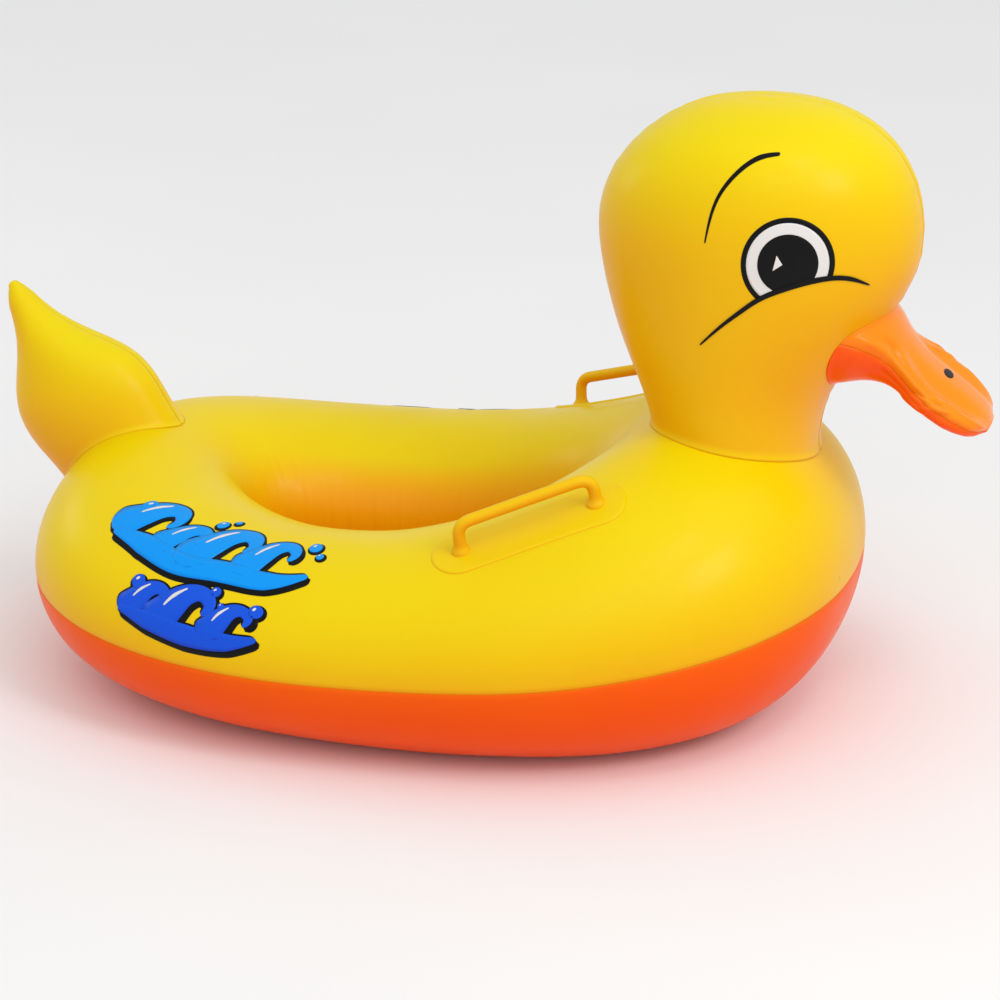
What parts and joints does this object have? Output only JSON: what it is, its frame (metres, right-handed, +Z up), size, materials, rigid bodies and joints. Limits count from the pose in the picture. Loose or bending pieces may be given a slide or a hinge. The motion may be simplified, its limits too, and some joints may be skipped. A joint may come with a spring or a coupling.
{
  "type": "inflatable child swim ring",
  "caption": "Inflatable duck-shaped ride-in pool float: oval ring with raised head, bill and tail, moulded grab handles and plugged air valves.",
  "frame": {"origin": "on the floor, under the middle of the float's bounding box", "axes": "+X towards the bill, +Y to the duck's left, +Z up"},
  "size_m": [1.0564, 0.6501, 0.6325],
  "materials": {
    "yellow_vinyl": "satin",
    "orange_vinyl": "satin",
    "bill_vinyl": "satin",
    "handle_vinyl": "satin",
    "valve_vinyl": "satin"
  },
  "bodies": {
    "root": {"ring_top_panel": "yellow_vinyl", "ring_bottom_panel": "orange_vinyl", "head_left_panel": "yellow_vinyl", "head_right_panel": "yellow_vinyl", "tail_left_panel": "yellow_vinyl", "tail_right_panel": "yellow_vinyl", "bill_upper_panel": "bill_vinyl", "bill_lower_panel": "bill_vinyl", "handle_left": "handle_vinyl", "handle_right": "handle_vinyl", "handle_pad_left": "yellow_vinyl", "handle_pad_right": "yellow_vinyl", "ring_valve_flange": "valve_vinyl", "head_valve_flange": "valve_vinyl", "tail_valve_flange": "valve_vinyl"},
    "ring_stem": {"ring_valve_stem": "valve_vinyl"},
    "ring_stopper": {"ring_valve_stopper": "valve_vinyl", "ring_valve_strap": "valve_vinyl"},
    "ring_flap": {"ring_valve_flap": "valve_vinyl"},
    "head_stem": {"head_valve_stem": "valve_vinyl"},
    "head_stopper": {"head_valve_stopper": "valve_vinyl", "head_valve_strap": "valve_vinyl"},
    "head_flap": {"head_valve_flap": "valve_vinyl"},
    "tail_stem": {"tail_valve_stem": "valve_vinyl"},
    "tail_stopper": {"tail_valve_stopper": "valve_vinyl", "tail_valve_strap": "valve_vinyl"},
    "tail_flap": {"tail_valve_flap": "valve_vinyl"}
  },
  "joints": [
    {"name": "ring_valve_pull", "type": "slide", "parent": "root", "child": "ring_stem", "axis": [-0.2429, 0.5175, 0.8205], "range_m": [0, 0.012]},
    {"name": "ring_stopper_swing", "type": "hinge", "parent": "ring_stem", "child": "ring_stopper", "pos_m": [-0.32793, 0.20732, 0.19987], "axis": [0.9053, 0.4249, 0], "range_deg": [0, 140]},
    {"name": "ring_flap_swing", "type": "hinge", "parent": "ring_stem", "child": "ring_flap", "pos_m": [-0.32461, 0.20025, 0.17643], "axis": [-0.9053, -0.4249, 0], "range_deg": [0, 50], "stiffness_Nm_per_rad": 0.0002},
    {"name": "head_valve_pull", "type": "slide", "parent": "root", "child": "head_stem", "axis": [-0.5185, 0.8414, -0.1525], "range_m": [0, 0.012]},
    {"name": "head_stopper_swing", "type": "hinge", "parent": "head_stem", "child": "head_stopper", "pos_m": [0.21783, 0.10399, 0.34978], "axis": [0.8513, 0.5246, 0], "range_deg": [0, 140]},
    {"name": "head_flap_swing", "type": "hinge", "parent": "head_stem", "child": "head_flap", "pos_m": [0.23068, 0.08314, 0.34648], "axis": [-0.8513, -0.5246, 0], "range_deg": [0, 50], "stiffness_Nm_per_rad": 0.0002},
    {"name": "tail_valve_pull", "type": "slide", "parent": "root", "child": "tail_stem", "axis": [-0.0581, 0.9955, 0.0744], "range_m": [0, 0.012]},
    {"name": "tail_stopper_swing", "type": "hinge", "parent": "tail_stem", "child": "tail_stopper", "pos_m": [-0.44643, 0.05217, 0.2546], "axis": [0.9983, 0.0583, 0], "range_deg": [0, 140]},
    {"name": "tail_flap_swing", "type": "hinge", "parent": "tail_stem", "child": "tail_flap", "pos_m": [-0.44508, 0.02909, 0.24585], "axis": [-0.9983, -0.0583, 0], "range_deg": [0, 50], "stiffness_Nm_per_rad": 0.0002}
  ]
}
